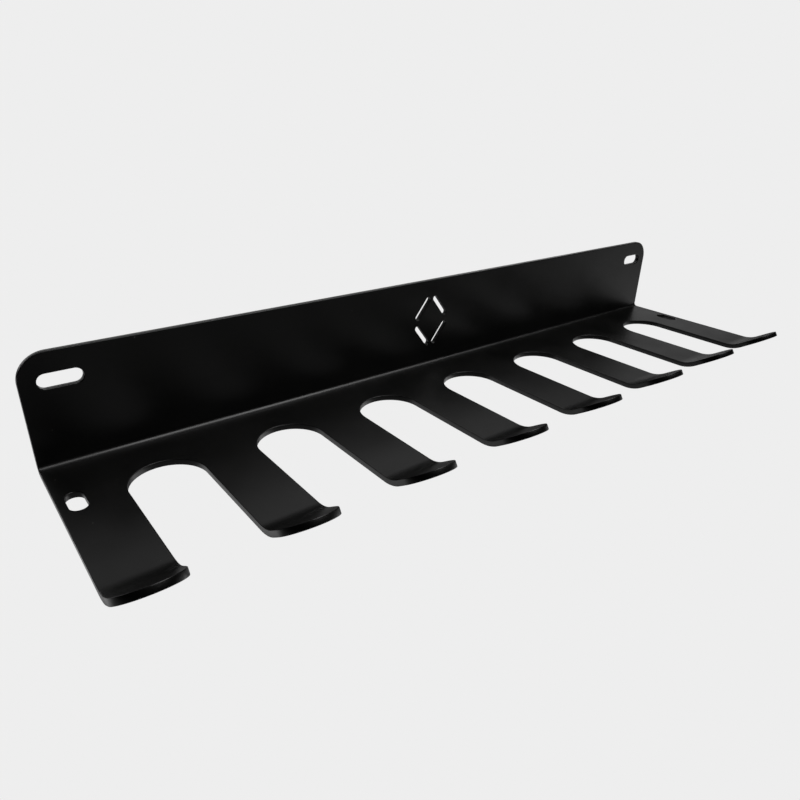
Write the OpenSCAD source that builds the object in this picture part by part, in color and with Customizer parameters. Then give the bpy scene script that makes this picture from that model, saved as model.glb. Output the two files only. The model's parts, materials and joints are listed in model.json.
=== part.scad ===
// Wall cue rack
//
// One sheet of steel, cut to outline and folded: a back plate that is screwed to the wall,
// and a shelf that is notched into tines. The cues stand in the U-shaped slots between the
// tines, and the tip of each tine curls up to keep them in.
//
// Millimetres. +X to the right as seen from the room, +Y into the wall, +Z up. The origin is
// on the rear face, midway between the two wall slots.
//
// The sheet is divided at its fold, behind its tine roots and where the tips begin to curl.
// The sections meet face to face, so each one is a plain shape with a name of its own.

/* [Sheet] */
// Overall width of the rack
rack_w = 600; // [450:10:900]
// Thickness of the sheet, with the coat on both of its faces
sheet_t = 4; // [2:0.1:5]
// Height of the rack, from the underside of the shelf to the top of the back plate
plate_h = 75; // [68:1:120]
// Radius of the two top corners of the back plate
corner_r = 17.5; // [5:0.5:25]
// Inner radius of the fold between the back plate and the shelf
fold_r = 3; // [1:0.5:6]

/* [Slots and tines] */
// Number of tines, one more than the number of slots
tines = 8; // [6:1:12]
// Width of a tine
tine_w = 35.5; // [24:0.5:44]
// Distance from the wall to the centre of a slot's round end
slot_y = 57; // [52:0.5:80]
// Distance from the wall to where the tips begin to curl
curl_y = 126.5; // [100:0.5:180]

/* [Curled tips] */
// Angle through which a tip is curled up
curl_angle = 33; // [10:1:45]
// Inner radius of the curl
curl_r = 23; // [10:1:24]
// Length of sheet in a tip, from the start of the curl to the middle of its round end
tip_len = 37; // [37:0.5:60]

/* [Wall slots] */
// Length of a wall slot, end to end
wall_slot_l = 25; // [16:0.5:30]
// Width of a wall slot
wall_slot_w = 9.4; // [5:0.1:11]
// Distance from the end of the rack to the centre of a wall slot
wall_slot_x = 22; // [20:1:40]
// Distance from the top of the back plate down to the wall slots
wall_slot_drop = 17.7; // [16:0.1:24]

/* [Shelf holes] */
// Length of a shelf hole, end to end, measured away from the wall
shelf_hole_l = 20; // [14:1:24]
// Width of a shelf hole
shelf_hole_w = 10; // [6:0.5:11]
// Distance from the end of the rack to the centre of a shelf hole
shelf_hole_x = 9.9; // [9:0.1:16]
// Distance from the wall to the centre of a shelf hole
shelf_hole_y = 49.2; // [40:0.1:52]

/* [Diamond cut-out] */
// Width of the diamond, from corner to corner
diamond_w = 36; // [24:1:44]
// Height of the diamond, from corner to corner
diamond_h = 46; // [30:1:46]
// Width of each of its four cuts
diamond_cut = 4.4; // [3:0.1:5]
// Distance from a corner to the round end of the nearest cut, centre to centre
diamond_inset = 6; // [5:0.5:8]

/* [Hidden] */
$fn = 96;
through = 1;                               // how far a cutter runs past a face
slots = tines - 1;
slot_w = (rack_w - tines * tine_w) / slots;
pitch = slot_w + tine_w;
shelf_z = wall_slot_drop - plate_h;        // underside of the shelf
shelf_top_z = shelf_z + sheet_t;
fold_outer_r = fold_r + sheet_t;
plate_low_z = shelf_z + fold_outer_r;      // where the flat of the back plate begins
plate_flat_h = plate_h - fold_outer_r;
root_web = 4;                              // sheet kept behind the slots and the shelf holes
root_y = min(slot_y - slot_w / 2, shelf_hole_y - shelf_hole_l / 2) - root_web;
curl_arc = curl_r * curl_angle * PI / 180; // sheet taken up by the curl, on its upper face
lip_len = tip_len - curl_arc;              // flat end of a tip
tine_r = tine_w / 2;

function tine_x(i) = (i - (tines + 1) / 2) * pitch;
function slot_x(i) = (i - (slots + 1) / 2) * pitch;

// Slot with round ends, along X, centred on the origin
module obround(length, width) {
    square([length - width, width], center = true);
    for (side = [-1, 1]) translate([side * (length - width) / 2, 0]) circle(d = width);
}

// Four cuts along the sides of a diamond, stopped short of its corners
module diamond() {
    side = norm([diamond_w, diamond_h]) / 2;
    slope = atan2(diamond_h, diamond_w);
    for (sx = [-1, 1], sz = [-1, 1])
        translate([sx * diamond_w / 4, sz * diamond_h / 4])
            rotate(-sx * sz * slope)
                obround(side - 2 * diamond_inset + diamond_cut, diamond_cut);
}

// Outline of the back plate, seen from the room, its lower edge on the X axis
module plate_outline() {
    translate([-rack_w / 2, 0]) square([rack_w, plate_flat_h - corner_r]);
    translate([corner_r - rack_w / 2, 0]) square([rack_w - 2 * corner_r, plate_flat_h]);
    for (side = [-1, 1])
        translate([side * (rack_w / 2 - corner_r), plate_flat_h - corner_r]) circle(corner_r);
}

// Outline of all the tines and their roots in plan, with the slots and the shelf holes cut
module comb() {
    difference() {
        translate([-rack_w / 2, -curl_y]) square([rack_w, curl_y - root_y]);
        for (i = [1:slots]) translate([slot_x(i), -slot_y]) {
            circle(d = slot_w);
            translate([-slot_w / 2, -curl_y]) square([slot_w, curl_y]);
        }
        for (side = [-1, 1])
            translate([side * (rack_w / 2 - shelf_hole_x), -shelf_hole_y])
                rotate(90) obround(shelf_hole_l, shelf_hole_w);
    }
}

// Turns a section, seen from the rack's right end with the wall to its right, into a solid
module along_x(width) {
    rotate([90, 0, 90]) linear_extrude(width, center = true) children();
}

// Quarter ring of sheet, from straight down to the wall side of its centre
module fold_section() {
    intersection() {
        difference() {
            circle(fold_outer_r);
            circle(fold_r);
        }
        translate([0, -fold_outer_r]) square(fold_outer_r);
    }
}

// Sheet that leaves the shelf straight below the centre, curls up and runs on flat
module tip_section() {
    outer_r = curl_r + sheet_t;
    reach = 2 * outer_r;
    intersection() {
        translate([-2 * reach, -reach]) square(2 * reach);
        difference() {
            union() {
                circle(outer_r);
                rotate(-curl_angle) translate([-lip_len, -outer_r]) square([lip_len, outer_r]);
            }
            circle(curl_r);
            rotate(-curl_angle) translate([-2 * reach, -curl_r]) square(2 * reach);
        }
    }
}

module back_plate() {
    color("#1b1b1c") translate([0, 0, plate_low_z]) rotate([90, 0, 0]) linear_extrude(sheet_t)
        difference() {
            plate_outline();
            for (side = [-1, 1])
                translate([side * (rack_w / 2 - wall_slot_x), -plate_low_z])
                    obround(wall_slot_l, wall_slot_w);
            translate([0, plate_flat_h / 2]) diamond();
        }
}

module main_fold() {
    color("#4a4a4b") translate([0, -fold_outer_r, plate_low_z]) along_x(rack_w) fold_section();
}

module shelf() {
    color("#232223")
        translate([-rack_w / 2, -root_y, shelf_z]) cube([rack_w, root_y - fold_outer_r, sheet_t]);
}

// A tine with its flared root, out to the centre lines of the slots beside it
module tine(i) {
    color("#2a292a") translate([0, 0, shelf_z]) linear_extrude(sheet_t) intersection() {
        comb();
        translate([tine_x(i) - pitch / 2, -curl_y]) square([pitch, curl_y]);
    }
}

// The curled section, cut to the tine's sides and round end square to its flat
module tip(i) {
    color("#353435") translate([tine_x(i), -curl_y, shelf_top_z + curl_r]) intersection() {
        along_x(tine_w + 2 * through) tip_section();
        rotate([-curl_angle, 0, 0]) linear_extrude(4 * curl_r, center = true) {
            translate([-tine_r, tine_r - lip_len]) square([tine_w, 2 * curl_r]);
            translate([0, tine_r - lip_len]) circle(tine_r);
        }
    }
}

back_plate();
main_fold();
shelf();
for (i = [1:tines]) {
    tine(i);
    tip(i);
}
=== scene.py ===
# %% [markdown]
# # A wall cue rack in folded sheet steel
#
# The real rack is one sheet of 4 mm steel. A laser cuts its outline, with the slots, screw slots
# and cut-out. A press brake then curls the tips of the tines and folds the whole length into an L,
# and a black powder coat goes on last. This file makes the mesh in that same order: cut, curl,
# fold, coat. Each feature is then drawn where it is easiest to draw, on a flat sheet, and the
# bends come out exact because a rule makes them.

# %% Load the frame
import json
import math

import bmesh
import bpy
from mathutils import Euler, Matrix, Vector
from mathutils.geometry import tessellate_polygon


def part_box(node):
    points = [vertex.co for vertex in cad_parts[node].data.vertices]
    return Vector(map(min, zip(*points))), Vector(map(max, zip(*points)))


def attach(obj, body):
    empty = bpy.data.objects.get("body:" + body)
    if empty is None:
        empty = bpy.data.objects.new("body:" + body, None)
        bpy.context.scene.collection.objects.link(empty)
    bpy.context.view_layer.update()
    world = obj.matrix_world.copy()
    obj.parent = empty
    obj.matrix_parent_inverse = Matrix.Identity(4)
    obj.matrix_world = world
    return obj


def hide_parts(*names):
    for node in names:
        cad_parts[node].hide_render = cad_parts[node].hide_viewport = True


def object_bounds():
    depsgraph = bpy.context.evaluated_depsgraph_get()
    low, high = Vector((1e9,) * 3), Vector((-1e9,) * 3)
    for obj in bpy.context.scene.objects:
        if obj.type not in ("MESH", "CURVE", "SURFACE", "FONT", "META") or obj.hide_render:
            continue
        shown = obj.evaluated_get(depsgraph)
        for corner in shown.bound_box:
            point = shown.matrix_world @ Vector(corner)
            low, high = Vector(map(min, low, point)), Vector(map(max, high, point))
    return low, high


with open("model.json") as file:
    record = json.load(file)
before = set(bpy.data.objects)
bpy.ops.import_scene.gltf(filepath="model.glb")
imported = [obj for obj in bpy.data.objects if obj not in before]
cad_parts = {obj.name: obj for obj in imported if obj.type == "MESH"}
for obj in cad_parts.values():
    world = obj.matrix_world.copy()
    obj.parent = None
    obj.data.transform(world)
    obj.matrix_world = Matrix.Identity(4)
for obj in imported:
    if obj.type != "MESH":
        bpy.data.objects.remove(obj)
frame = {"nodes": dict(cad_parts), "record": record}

CAD_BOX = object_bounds()
RECORD = frame["record"]
MM = 0.001
print("CAD box", [[round(v / MM, 1) for v in corner] for corner in CAD_BOX], "mm")

# %% [markdown]
# ## The camera
#
# The camera stands near the left end of the rack, a little above it, and looks along it. A wide
# lens this close makes the near tines much larger than the far ones, so the lens matters as much
# as the direction. A turn of a degree or so about the line of sight is the tilt of a hand-held
# camera.

# %% Camera
LEFT_END = CAD_BOX[0][0]
CAMERA_PLACE = (LEFT_END - 33.6 * MM, -383.6 * MM, 150.2 * MM)
CAMERA_AZIMUTH = math.radians(38.61)
CAMERA_DOWN = math.radians(25.43)
CAMERA_ROLL = math.radians(1.64)
CAMERA_LENS = 28.74

scene = bpy.context.scene
camera_data = bpy.data.cameras.new("camera")
camera_data.lens = CAMERA_LENS
camera_data.sensor_width = 36.0
camera_data.clip_start = 0.01
camera = bpy.data.objects.new("camera", camera_data)
scene.collection.objects.link(camera)
aim = Euler((math.pi / 2 - CAMERA_DOWN, 0.0, -CAMERA_AZIMUTH)).to_matrix()
turn = aim @ Matrix.Rotation(CAMERA_ROLL, 3, "Z")
camera.matrix_world = Matrix.Translation(CAMERA_PLACE) @ turn.to_4x4()
scene.camera = camera
scene.view_settings.view_transform = "Standard"
print(f"camera with a {CAMERA_LENS} mm lens,",
      f"{math.degrees(CAMERA_DOWN):.1f} degrees down")

# %% [markdown]
# ## Sizes
#
# The sections of the CAD model carry most of the sizes, so they are read from the frame. What a
# box can't tell, such as a radius, is a named value in millimetres.

# %% Sizes read from the frame, and the radii
plate_low, plate_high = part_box("back_plate")
fold_low, fold_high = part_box("main_fold")
shelf_low, shelf_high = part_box("shelf")
tine_low, tine_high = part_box("tine_2")
tip_low, tip_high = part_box("tip_2")

LEFT, RIGHT = plate_low[0], plate_high[0]
SHEET = plate_high[1] - plate_low[1]
FOLD_OUTER_R = fold_high[1] - fold_low[1]
FOLD_R = FOLD_OUTER_R - SHEET
PLATE_FLAT = plate_high[2] - plate_low[2]
UNDERSIDE = shelf_low[2]
FOLD_Y = shelf_high[1]
WEB_Y = shelf_low[1]
CURL_Y = tine_low[1]
TINES = sum(name.startswith("tine_") for name in frame["nodes"])
SLOTS = TINES - 1
TINE_W = tip_high[0] - tip_low[0]
PITCH = tine_high[0] - tine_low[0]
SLOT_R = (PITCH - TINE_W) / 2
SLOT_Y = -57 * MM
CORNER_R = 17.5 * MM
CURL_R = 23 * MM
CURL_ANGLE = math.radians(33)
TIP_LENGTH = 37 * MM
LIP = TIP_LENGTH - CURL_R * CURL_ANGLE

mounts = {mount["name"]: mount for mount in RECORD["mounts"]}
wall_slots = mounts["wall_slots"]["dims"]
WALL_SLOT_X = wall_slots["spacing_x_mm"] / 2 * MM
WALL_SLOT_R = wall_slots["hole_r_mm"] * MM
WALL_SLOT_HALF = wall_slots["slot_length_mm"] / 2 * MM - WALL_SLOT_R
SHELF_HOLE_X, SHELF_HOLE_Y = mounts["shelf_hole_right"]["pos_m"][:2]
SHELF_HOLE_R = 5 * MM
SHELF_HOLE_HALF = 5 * MM
DIAMOND_W, DIAMOND_H = 36 * MM, 46 * MM
DIAMOND_INSET = 6 * MM
DIAMOND_R = 2.2 * MM
print(f"sheet {SHEET / MM:.1f} mm, {TINES} tines {TINE_W / MM:.0f} mm wide,"
      f" {SLOTS} slots {2 * SLOT_R / MM:.1f} mm wide")

# %% [markdown]
# ## The flat pattern
#
# Bending stretches the outside of a sheet and squeezes the inside. A layer a little inside the
# middle keeps its length, and a sheet-metal worker finds how much flat sheet a bend uses up from
# that layer. Here the same sum places the plate and the tips on the flat pattern.
#
# On the flat pattern the shelf keeps its own place, the plate lies beyond it towards the wall,
# and the tips reach out a little further than they do once they are curled.

# %% How much flat sheet the two bends use up
NEUTRAL_LAYER = 0.44


def bend_allowance(inner_r, angle):
    """Flat length that a bend uses up."""
    return angle * (inner_r + NEUTRAL_LAYER * SHEET)


FOLD_ALLOWANCE = bend_allowance(FOLD_R, math.pi / 2)
CURL_ALLOWANCE = bend_allowance(CURL_R, CURL_ANGLE)
FLAT_TOP = FOLD_Y + FOLD_ALLOWANCE + PLATE_FLAT
FLAT_ORIGIN = FLAT_TOP - plate_high[2]
FLAT_TIP = CURL_Y - CURL_ALLOWANCE - LIP
print(f"flat blank {(RIGHT - LEFT) / MM:.0f} x {(FLAT_TOP - FLAT_TIP) / MM:.1f} mm")

# %% [markdown]
# ## Arcs and loops
#
# Every corner of the pattern is rounded, so an outline is only a chain of arcs, with the straight
# edges as the gaps between them. Each point also keeps the direction from the edge into the
# sheet, which makes it easy to step inwards later, and says whether a cut edge or a seam to a
# neighbouring piece follows it. All loops are walked with the sheet on the left.

# %% Outline helpers
ARC_STEP = 5.0
NO_INSET = Vector((0, 0))


def arc(x, y, radius, start, end, sheet_inside=True):
    """Points along an arc in degrees: (place, direction into the sheet, cut edge follows)."""
    steps = round(abs(end - start) / ARC_STEP)
    points = []
    for step in range(steps + 1):
        angle = math.radians(start + (end - start) * step / steps)
        outward = Vector((math.cos(angle), math.sin(angle)))
        inset = -outward if sheet_inside else outward
        points.append((Vector((x, y)) + radius * outward, inset, True))
    return points


def obround(x, y, half, radius, turn=0.0):
    """A hole with two round ends, its ends half each way from its centre."""
    turned = Matrix.Rotation(turn, 2)
    ends = arc(half, 0, radius, 90, -90, False) + arc(-half, 0, radius, -90, -270, False)
    return [(Vector((x, y)) + turned @ place, turned @ inset, cut) for place, inset, cut in ends]


def seam(points):
    """The same points, with a seam after the last one in place of a cut edge."""
    place, inset, _ = points[-1]
    return points[:-1] + [(place, inset, False)]


def tine_x(i):
    """Middle of tine i, counted from 1 at the left."""
    return (i - (TINES + 1) / 2) * PITCH


def slot_x(i):
    """Middle of slot i, counted from 1 at the left."""
    return (i - (SLOTS + 1) / 2) * PITCH


# %% [markdown]
# ## The outlines
#
# Six of the eight tines are alike, so one of them is drawn, and Geometry Nodes will set out the
# rest. The plate, the web of the shelf and the two end tines make the other outline. The two
# outlines share the line behind the slots and the top of each slot's round end, point for point,
# so that they weld into one sheet.

# %% Outlines of the plate and of one inner tine
TIP_R = TINE_W / 2


def tip_end(i):
    """Round end of tine i, from its left side to its right side."""
    return arc(tine_x(i), FLAT_TIP + TIP_R, TIP_R, 180, 360)


def slot_left(i):
    """Left half of the round end of slot i, up to its top."""
    return seam(arc(slot_x(i), SLOT_Y, SLOT_R, 180, 90, False))


def slot_right(i):
    """Right half of the round end of slot i, down from its top."""
    return arc(slot_x(i), SLOT_Y, SLOT_R, 90, 0, False)


def web_point(i):
    """Where the seam behind slot i meets the web."""
    return (Vector((slot_x(i), WEB_Y)), NO_INSET, False)


plate_outline = arc(RIGHT - CORNER_R, FLAT_TOP - CORNER_R, CORNER_R, 0, 90)
plate_outline += arc(LEFT + CORNER_R, FLAT_TOP - CORNER_R, CORNER_R, 90, 180)
plate_outline += tip_end(1) + slot_left(1)
plate_outline += [web_point(i) for i in range(1, SLOTS + 1)]
plate_outline += slot_right(SLOTS) + tip_end(TINES)

tine_outline = slot_right(1) + tip_end(2) + slot_left(2) + [web_point(2), web_point(1)]

plate_holes = []
for side in (-1, 1):
    plate_holes.append(obround(side * WALL_SLOT_X, FLAT_ORIGIN, WALL_SLOT_HALF, WALL_SLOT_R))
    plate_holes.append(obround(side * SHELF_HOLE_X, SHELF_HOLE_Y, SHELF_HOLE_HALF, SHELF_HOLE_R,
                               math.pi / 2))

# The cut-out is four short cuts along the sides of a diamond
diamond_side = math.hypot(DIAMOND_W, DIAMOND_H) / 2
diamond_slope = math.atan2(DIAMOND_H, DIAMOND_W)
for across in (-1, 1):
    for up in (-1, 1):
        plate_holes.append(obround(across * DIAMOND_W / 4,
                                   FLAT_TOP - PLATE_FLAT / 2 + up * DIAMOND_H / 4,
                                   diamond_side / 2 - DIAMOND_INSET, DIAMOND_R,
                                   -across * up * diamond_slope))
print(len(plate_outline), "points round the plate,", len(tine_outline), "round a tine")

# %% [markdown]
# ## From outline to sheet
#
# Powder coat flows as it cures and draws back a little at a sharp edge, so a coated edge is never
# sharp: it has a small radius, which is what catches the light along every cut. Here each cut
# edge is a strip that follows the outline: over the top edge, down the wall and under the bottom
# edge. A bevel would do nearly the same, but this strip has one more row of points just inside
# the flat faces, which keeps their shading dead flat.
#
# A long flat face can't bend, so the pieces are scored across along the bend lines, closely
# enough that each bend looks round.

# %% Edge profile, flat pieces and scoring
EDGE_R = 0.4 * MM
EDGE_STEPS = 4
FLAT_MARGIN = 0.4 * MM

quarter = [math.pi / 2 * step / EDGE_STEPS for step in range(EDGE_STEPS + 1)]
lower_edge = [(EDGE_R * (1 - math.cos(a)), EDGE_R * (1 - math.sin(a))) for a in quarter]
upper_edge = [(inset, SHEET - height) for inset, height in reversed(lower_edge)]
margin = EDGE_R + FLAT_MARGIN
EDGE_PROFILE = [(margin, SHEET), *upper_edge, *lower_edge, (margin, 0)]


def edge_column(mesh, place, inset):
    """Points from the top face over the edge to the underside, or two on a seam's corner."""
    if inset.length == 0:
        top = mesh.verts.new((*place, UNDERSIDE + SHEET))
        bottom = mesh.verts.new((*place, UNDERSIDE))
        return [top, bottom]
    return [mesh.verts.new((*(place + inset * step), UNDERSIDE + height))
            for step, height in EDGE_PROFILE]


def flat_piece(name, loops, score_lines):
    """A flat piece of the sheet as an object, open along its seams."""
    mesh = bmesh.new()
    columns = [[edge_column(mesh, place, inset) for place, inset, _ in loop] for loop in loops]
    for loop, sides in zip(loops, columns):
        for k, (_, _, cut) in enumerate(loop):
            here, there = sides[k], sides[(k + 1) % len(sides)]
            if cut:
                for j in range(len(EDGE_PROFILE) - 1):
                    mesh.faces.new((here[j], here[j + 1], there[j + 1], there[j]))
    for level, facing in ((0, 1), (-1, -1)):
        rims = [[side[level] for side in sides] for sides in columns]
        corners = [vert for rim in rims for vert in rim]
        for triangle in tessellate_polygon([[vert.co for vert in rim] for rim in rims]):
            a, b, c = (corners[k] for k in triangle)
            upwards = (b.co - a.co).cross(c.co - a.co).z > 0
            mesh.faces.new((a, b, c) if upwards == (facing > 0) else (a, c, b))
    for y in score_lines:
        everything = mesh.verts[:] + mesh.edges[:] + mesh.faces[:]
        bmesh.ops.bisect_plane(mesh, geom=everything, dist=1e-7,
                               plane_co=(0, y, 0), plane_no=(0, 1, 0))
    data = bpy.data.meshes.new(name)
    mesh.to_mesh(data)
    mesh.free()
    piece = bpy.data.objects.new(name, data)
    scene.collection.objects.link(piece)
    return piece


def bend_lines(line, direction, allowance, steps):
    """Score lines across a bend, with one more just outside each end of it."""
    inside = [allowance * step / steps for step in range(steps + 1)]
    return [line + direction * d for d in (-margin, *inside, allowance + margin)]


FOLD_STEPS, CURL_STEPS = 14, 16
curl_lines = bend_lines(CURL_Y, -1, CURL_ALLOWANCE, CURL_STEPS)
fold_lines = bend_lines(FOLD_Y, 1, FOLD_ALLOWANCE, FOLD_STEPS)
rack_sheet = flat_piece("rack_sheet", [plate_outline, *plate_holes], curl_lines + fold_lines)
tine = flat_piece("tine_pattern", [tine_outline], curl_lines)
print("flat pieces of", len(rack_sheet.data.polygons), "and", len(tine.data.polygons), "faces")

# %% [markdown]
# ## A helper for nodes
#
# A node tree written out by hand is long. This one function adds a node of any kind with its
# settings, and fills each input with a value or joins it to another node.

# %% Add a node
def add_node(tree, kind, inputs=None, **settings):
    """Adds a node. An input's value is a number, a socket, or a node, whose first output it takes."""
    node = tree.nodes.new(kind)
    for name, value in settings.items():
        setattr(node, name, value)
    for key, value in (inputs or {}).items():
        if isinstance(value, bpy.types.Node):
            value = value.outputs[0]
        if isinstance(value, bpy.types.NodeSocket):
            tree.links.new(value, node.inputs[key])
        else:
            node.inputs[key].default_value = value
    return node


def new_geometry_tree(name, inputs):
    """A Geometry Nodes tree with named inputs, and its group input node."""
    tree = bpy.data.node_groups.new(name, "GeometryNodeTree")
    tree.interface.new_socket("Geometry", in_out="OUTPUT", socket_type="NodeSocketGeometry")
    for label, kind in inputs.items():
        tree.interface.new_socket(label, in_out="INPUT", socket_type="NodeSocket" + kind)
    return tree, tree.nodes.new("NodeGroupInput").outputs


# %% [markdown]
# ## The press brake
#
# A press brake bends a sheet about a straight line. As a rule for each point: the sheet that the
# bend uses up is pulled back onto the bend line, and then the point turns about the centre of the
# bend. A point on the near side of the line doesn't move, one in the bend turns part of the way,
# and one beyond it turns the whole way. Because the turn is about the centre, every layer of the
# sheet gets its own radius and the thickness stays true. The same tree makes both bends.

# %% Press brake tree
press_brake, given = new_geometry_tree("press_brake", {
    "Geometry": "Geometry", "Bend Line": "Float", "Direction": "Float", "Inside Radius": "Float",
    "Angle": "Float", "Allowance": "Float", "Thickness": "Float", "Underside": "Float"})

place = add_node(press_brake, "GeometryNodeInputPosition")
split = add_node(press_brake, "ShaderNodeSeparateXYZ", {0: place})
offset = add_node(press_brake, "ShaderNodeMath",
                  {0: split.outputs["Y"], 1: given["Bend Line"]}, operation="SUBTRACT")
beyond = add_node(press_brake, "ShaderNodeMath",
                  {0: offset, 1: given["Direction"]}, operation="MULTIPLY")
used = add_node(press_brake, "ShaderNodeClamp",
                {"Value": beyond, "Min": 0.0, "Max": given["Allowance"]})
share = add_node(press_brake, "ShaderNodeMath",
                 {0: used, 1: given["Allowance"]}, operation="DIVIDE")
turned = add_node(press_brake, "ShaderNodeMath",
                  {0: share, 1: given["Angle"]}, operation="MULTIPLY")
signed_turn = add_node(press_brake, "ShaderNodeMath",
                       {0: turned, 1: given["Direction"]}, operation="MULTIPLY")
pull = add_node(press_brake, "ShaderNodeMath",
                {0: used, 1: given["Direction"]}, operation="MULTIPLY")
pull_y = add_node(press_brake, "ShaderNodeCombineXYZ", {"Y": pull})
pulled = add_node(press_brake, "ShaderNodeVectorMath", {0: place, 1: pull_y},
                  operation="SUBTRACT")
top_z = add_node(press_brake, "ShaderNodeMath",
                 {0: given["Underside"], 1: given["Thickness"]}, operation="ADD")
centre_z = add_node(press_brake, "ShaderNodeMath",
                    {0: top_z, 1: given["Inside Radius"]}, operation="ADD")
centre = add_node(press_brake, "ShaderNodeCombineXYZ", {"Y": given["Bend Line"], "Z": centre_z})
bent = add_node(press_brake, "ShaderNodeVectorRotate",
                {"Vector": pulled, "Center": centre, "Angle": signed_turn},
                rotation_type="X_AXIS")
moved = add_node(press_brake, "GeometryNodeSetPosition",
                 {"Geometry": given["Geometry"], "Position": bent})
add_node(press_brake, "NodeGroupOutput", {"Geometry": moved})
print("press brake of", len(press_brake.nodes), "nodes")

# %% [markdown]
# ## The whole sheet
#
# This tree sets out the inner tines at the slot pitch, welds them to the plate's piece, and then
# works in the order of the shop: the tips are curled while the sheet is still flat and easy to
# reach, and the long fold comes last.

# %% Sheet tree
SIZES = {
    "Inner Tines": ("Int", TINES - 2), "Pitch": ("Float", PITCH),
    "Thickness": ("Float", SHEET), "Underside": ("Float", UNDERSIDE),
    "Curl Line": ("Float", CURL_Y), "Curl Radius": ("Float", CURL_R),
    "Curl Angle": ("Float", CURL_ANGLE), "Curl Allowance": ("Float", CURL_ALLOWANCE),
    "Fold Line": ("Float", FOLD_Y), "Fold Radius": ("Float", FOLD_R),
    "Fold Angle": ("Float", math.pi / 2), "Fold Allowance": ("Float", FOLD_ALLOWANCE)}
WELD = 0.02 * MM

sheet_tree, given = new_geometry_tree("cut_and_folded_sheet", {
    "Geometry": "Geometry", "Tine": "Object", "Material": "Material",
    **{label: kind for label, (kind, _) in SIZES.items()}})
tine_info = add_node(sheet_tree, "GeometryNodeObjectInfo", {"Object": given["Tine"]})
step = add_node(sheet_tree, "ShaderNodeCombineXYZ", {"X": given["Pitch"]})
row = add_node(sheet_tree, "GeometryNodeMeshLine",
               {"Count": given["Inner Tines"], "Offset": step}, mode="OFFSET")
tines = add_node(sheet_tree, "GeometryNodeInstanceOnPoints",
                 {"Points": row, "Instance": tine_info.outputs["Geometry"]})
loose = add_node(sheet_tree, "GeometryNodeRealizeInstances", {"Geometry": tines})
joined = add_node(sheet_tree, "GeometryNodeJoinGeometry", {"Geometry": given["Geometry"]})
sheet_tree.links.new(loose.outputs[0], joined.inputs[0])
welded = add_node(sheet_tree, "GeometryNodeMergeByDistance",
                  {"Geometry": joined, "Distance": WELD})
bent = welded
for bend, direction in (("Curl", -1.0), ("Fold", 1.0)):
    bent = add_node(sheet_tree, "GeometryNodeGroup", {
        "Geometry": bent, "Bend Line": given[bend + " Line"], "Direction": direction,
        "Inside Radius": given[bend + " Radius"], "Angle": given[bend + " Angle"],
        "Allowance": given[bend + " Allowance"], "Thickness": given["Thickness"],
        "Underside": given["Underside"]}, node_tree=press_brake)
smooth = add_node(sheet_tree, "GeometryNodeSetShadeSmooth", {"Geometry": bent})
real = add_node(sheet_tree, "GeometryNodeRealizeInstances", {"Geometry": smooth})
coated = add_node(sheet_tree, "GeometryNodeSetMaterial",
                  {"Geometry": real, "Material": given["Material"]})
add_node(sheet_tree, "NodeGroupOutput", {"Geometry": coated})
print("sheet tree of", len(sheet_tree.nodes), "nodes and", len(SIZES), "sizes")

# %% [markdown]
# ## The powder coat
#
# The finish is black polyester powder coat: dry powder that is sprayed on, held by a static
# charge and then melted in an oven. It flows into one smooth skin over faces and edges alike, with
# no brush marks, and three things tell the eye what it is. It is satin, so a reflection is a soft
# patch with no outline. It has orange peel, shallow waves two or three millimetres long, and a finer
# grain on top of them. The film is also a little thicker in some places than in others, which
# changes the gloss over a few centimetres. All three are noise textures on Object coordinates,
# scaled from their real sizes.

# %% Powder coat
def linear(hex_colour):
    """An sRGB colour such as #1a2b3c as linear red, green, blue and alpha."""
    values = [int(hex_colour[k:k + 2], 16) / 255 for k in (1, 3, 5)]
    return (*(v / 12.92 if v <= 0.04045 else ((v + 0.055) / 1.055) ** 2.4 for v in values), 1.0)


COAT_IOR = 1.5             # polyester resin
COAT_ROUGHNESS = 0.35      # satin
GLOSS_CHANGE = 0.05        # how far the roughness drifts either way
FILM_PATCH = 35 * MM       # length of a patch of thicker or thinner film
FILM_LOW = 0.3             # most of the noise lies between these two values
FILM_HIGH = 0.7
PEEL_LENGTH = 2.5 * MM
PEEL_HEIGHT = 0.010 * MM
GRAIN_LENGTH = 1.2 * MM    # really about 0.2 mm, drawn coarser so that it shows
GRAIN_HEIGHT = 0.022 * MM

coat = bpy.data.materials.new("black_satin_powder_coat")
coat.use_nodes = True
nodes = coat.node_tree
shader = nodes.nodes["Principled BSDF"]
shader.inputs["IOR"].default_value = COAT_IOR
place = add_node(nodes, "ShaderNodeTexCoord").outputs["Object"]


def noise(length, detail):
    """Noise with features of about this length, as a value from 0 to 1."""
    return add_node(nodes, "ShaderNodeTexNoise",
                    {"Vector": place, "Scale": 1 / length, "Detail": detail}).outputs["Fac"]


film = noise(FILM_PATCH, 3.0)
gloss = add_node(nodes, "ShaderNodeMapRange",
                 {"Value": film, "From Min": FILM_LOW, "From Max": FILM_HIGH,
                  "To Min": COAT_ROUGHNESS - GLOSS_CHANGE,
                  "To Max": COAT_ROUGHNESS + GLOSS_CHANGE})
nodes.links.new(gloss.outputs["Result"], shader.inputs["Roughness"])
# A Mix node has sockets for every kind of value: 6 and 7 take its two colours, 2 gives one
shade = add_node(nodes, "ShaderNodeMix",
                 {0: film, 6: linear("#030303"), 7: linear("#080807")}, data_type="RGBA")

# %% [markdown]
# ## Nibs and bumps
#
# A few grains of dust always land in a coat before it cures, and show as tiny pale nibs. Voronoi
# cells place them: only the cells with a high random value hold one, at the cell's centre. The
# two bumps are chained, so that the grain rides on the waves.

# %% Dust nibs, orange peel and grain
NIB_CELL = 6 * MM
NIB_R = 0.3 * MM
NIB_SHARE = 0.10

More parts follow.
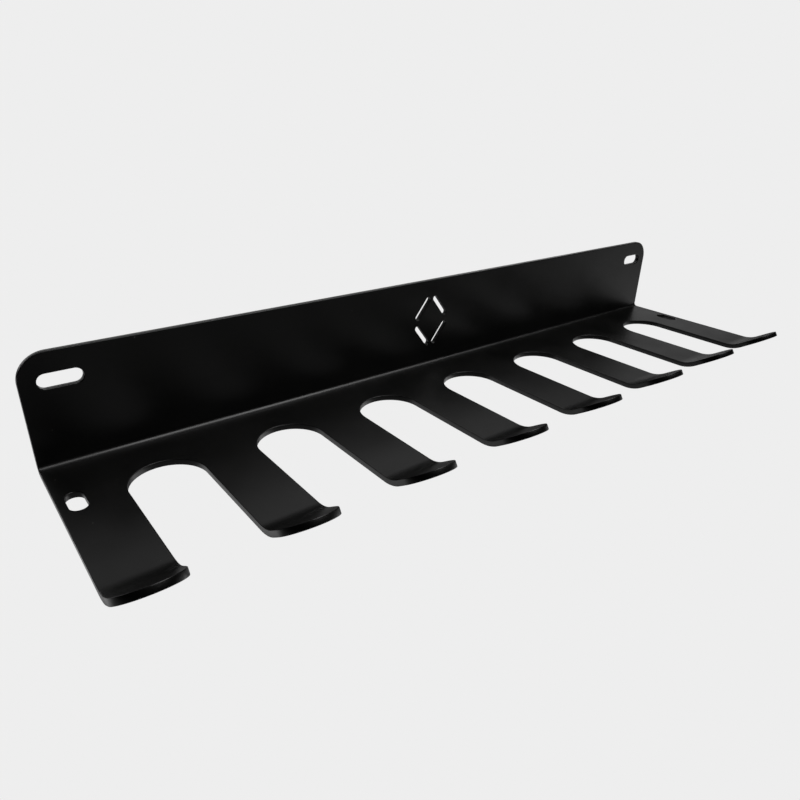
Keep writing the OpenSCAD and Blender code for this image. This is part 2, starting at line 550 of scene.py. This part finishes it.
cells = add_node(nodes, "ShaderNodeTexVoronoi", {"Vector": place, "Scale": 1 / NIB_CELL})
chance = add_node(nodes, "ShaderNodeSeparateColor", {"Color": cells.outputs["Color"]})
chosen = add_node(nodes, "ShaderNodeMath", {0: chance, 1: 1 - NIB_SHARE},
                  operation="GREATER_THAN")
near = add_node(nodes, "ShaderNodeMath",
                {0: cells.outputs["Distance"], 1: NIB_R / NIB_CELL}, operation="LESS_THAN")
nib = add_node(nodes, "ShaderNodeMath", {0: chosen, 1: near}, operation="MULTIPLY")
speckled = add_node(nodes, "ShaderNodeMix",
                    {0: nib, 6: shade.outputs[2], 7: linear("#6f6e6a")}, data_type="RGBA")
nodes.links.new(speckled.outputs[2], shader.inputs["Base Color"])

peel = add_node(nodes, "ShaderNodeBump",
                {"Height": noise(PEEL_LENGTH, 1.0), "Distance": PEEL_HEIGHT})
grain = add_node(nodes, "ShaderNodeBump",
                 {"Height": noise(GRAIN_LENGTH, 2.0), "Distance": GRAIN_HEIGHT,
                  "Normal": peel})
nodes.links.new(grain.outputs["Normal"], shader.inputs["Normal"])
print("powder coat with", len(nodes.nodes), "nodes")

# %% [markdown]
# ## Making the sheet
#
# A modifier's inputs are set by their identifiers before the tree is first evaluated. The result
# is then turned into a plain mesh, because a later program may not know Geometry Nodes.

# %% Run the tree and keep its result
modifier = rack_sheet.modifiers.new("sheet", "NODES")
modifier.node_group = sheet_tree
identifiers = {item.name: item.identifier for item in sheet_tree.interface.items_tree
               if item.in_out == "INPUT"}
modifier[identifiers["Tine"]] = tine
modifier[identifiers["Material"]] = coat
for label, (_, value) in SIZES.items():
    modifier[identifiers[label]] = value

depsgraph = bpy.context.evaluated_depsgraph_get()
finished = bpy.data.meshes.new_from_object(rack_sheet.evaluated_get(depsgraph))
rack_sheet.modifiers.clear()
rack_sheet.data = finished
finished.materials.clear()  # the join left an empty first slot
finished.materials.append(coat)
bpy.data.objects.remove(tine)

check = bmesh.new()
check.from_mesh(finished)
open_edges = [edge for edge in check.edges if not edge.is_manifold]
volume = check.calc_volume(signed=True)
check.free()
corners = [vert.co for vert in finished.vertices]
low = [min(co[k] for co in corners) / MM for k in range(3)]
high = [max(co[k] for co in corners) / MM for k in range(3)]
print(len(finished.polygons), "faces,", len(open_edges), "open edges,",
      f"volume {volume * 1e6:.2f} cm3, from", [round(v, 2) for v in low],
      "to", [round(v, 2) for v in high], "mm")

# %% [markdown]
# ## Handing the sheet over
#
# The CAD model divides the sheet into sections so that each one has a name. They are still one
# piece of metal that never moves, so one mesh stands in for all of them and rides on the root.

# %% Hand the piece over
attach(rack_sheet, "root")
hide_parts(*frame["nodes"])
print("one sheet stands in for", len(frame["nodes"]), "sections")

# %% [markdown]
# ## The floor and the backdrop
#
# The rack hangs on a wall at about chest height, so the floor is far below it. The floor and the
# backdrop are one even pale grey, so there is no horizon and nothing behind the dark shape to
# confuse its outline. A black satin surface mirrors whatever is around it, and a studio keeps it
# black with dark cards round it. The same is done here: only the camera sees the pale floor and
# backdrop, and the steel sees a dim studio with soft lights in it.

# %% Floor and world
PALE = "#eeeeee"
FLOOR_DEPTH = 1.5
FLOOR_HALF = 40.0
DIM_FLOOR = 0.24           # what the steel sees of the floor, as a share of white
FLOOR_FULL = -22           # degrees above the horizon where the dim floor is at its full strength
FLOOR_GONE = -6            # degrees where it has faded away

floor_mesh = bpy.data.meshes.new("floor")
floor_corners = [(x, y, -FLOOR_DEPTH) for x, y in ((-1, -1), (1, -1), (1, 1), (-1, 1))]
floor_mesh.from_pydata([(x * FLOOR_HALF, y * FLOOR_HALF, z) for x, y, z in floor_corners],
                       [], [(0, 1, 2, 3)])
floor = bpy.data.objects.new("floor", floor_mesh)
scene.collection.objects.link(floor)
paint = bpy.data.materials.new("pale_even_floor")
paint.use_nodes = True
paint.node_tree.nodes.clear()
glow = add_node(paint.node_tree, "ShaderNodeEmission", {"Color": linear(PALE)})
add_node(paint.node_tree, "ShaderNodeOutputMaterial", {"Surface": glow})
floor_mesh.materials.append(paint)
floor.visible_glossy = False
floor.visible_diffuse = False

world = bpy.data.worlds.new("studio")
world.use_nodes = True
scene.world = world
air = world.node_tree
air.nodes.clear()
direction = add_node(air, "ShaderNodeTexCoord").outputs["Generated"]
height = add_node(air, "ShaderNodeSeparateXYZ", {0: direction}).outputs["Z"]
dim = add_node(air, "ShaderNodeMapRange",
               {"Value": height, "From Min": math.sin(math.radians(FLOOR_FULL)),
                "From Max": math.sin(math.radians(FLOOR_GONE)),
                "To Min": DIM_FLOOR, "To Max": 0.0})
studio = add_node(air, "ShaderNodeBackground", {"Strength": dim})
backdrop = add_node(air, "ShaderNodeBackground", {"Color": linear(PALE)})
seen = add_node(air, "ShaderNodeLightPath").outputs["Is Camera Ray"]
either = add_node(air, "ShaderNodeMixShader", {0: seen, 1: studio, 2: backdrop})
add_node(air, "ShaderNodeOutputWorld", {"Surface": either})
print("floor", FLOOR_DEPTH, "m below the screw slots")

# %% [markdown]
# ## The lights
#
# Eight soft boxes, because a black satin surface shows only what it mirrors. Four stand on the
# wall side at different heights and give the tops of the tines a sheen that fades towards the
# fold. A strong one overhead in front draws the bright line along the inside of the fold. Two low
# ones to the right are what the back plate mirrors, and a low one at the left picks out the cut
# edges. Each is placed by its direction from the rack.

# %% Soft boxes
BOX_DISTANCE = 2.0
POWER_PER_AREA = 4.0       # watts for each square metre of a soft box of strength 1
rack_middle = (Vector(CAD_BOX[0]) + Vector(CAD_BOX[1])) / 2


def soft_box(name, azimuth, elevation, width, height, strength):
    """A soft box facing the rack. Azimuth is in degrees from straight behind, clockwise."""
    turn, rise = math.radians(azimuth), math.radians(elevation)
    towards = Vector((math.sin(turn) * math.cos(rise), math.cos(turn) * math.cos(rise),
                      math.sin(rise)))
    lamp = bpy.data.lights.new(name, "AREA")
    lamp.shape = "RECTANGLE"
    lamp.size, lamp.size_y = width, height
    lamp.energy = strength * POWER_PER_AREA * width * height
    box = bpy.data.objects.new(name, lamp)
    box.location = rack_middle + BOX_DISTANCE * towards
    box.rotation_euler = towards.to_track_quat("Z", "Y").to_euler()
    box.visible_camera = False
    scene.collection.objects.link(box)


soft_box("wall_side_box", 12, 6, 3.6, 0.8, 0.85)
soft_box("back_box", 15, 46, 2.6, 1.2, 0.34)
soft_box("high_box", 45, 56, 1.2, 0.9, 0.5)
soft_box("far_box", 58, 12, 1.1, 1.0, 0.27)
soft_box("overhead_box", 143, 62, 1.6, 1.3, 2.9)
soft_box("right_box", 100, -18, 1.6, 1.0, 0.23)
soft_box("low_box", 100, -42, 1.8, 1.4, 0.9)
soft_box("left_box", 320, -27, 1.4, 1.0, 0.45)
lamps = [thing for thing in scene.objects if thing.type == "LIGHT"]
print(len(lamps), "soft boxes,", round(sum(lamp.data.energy for lamp in lamps), 1), "W in all")
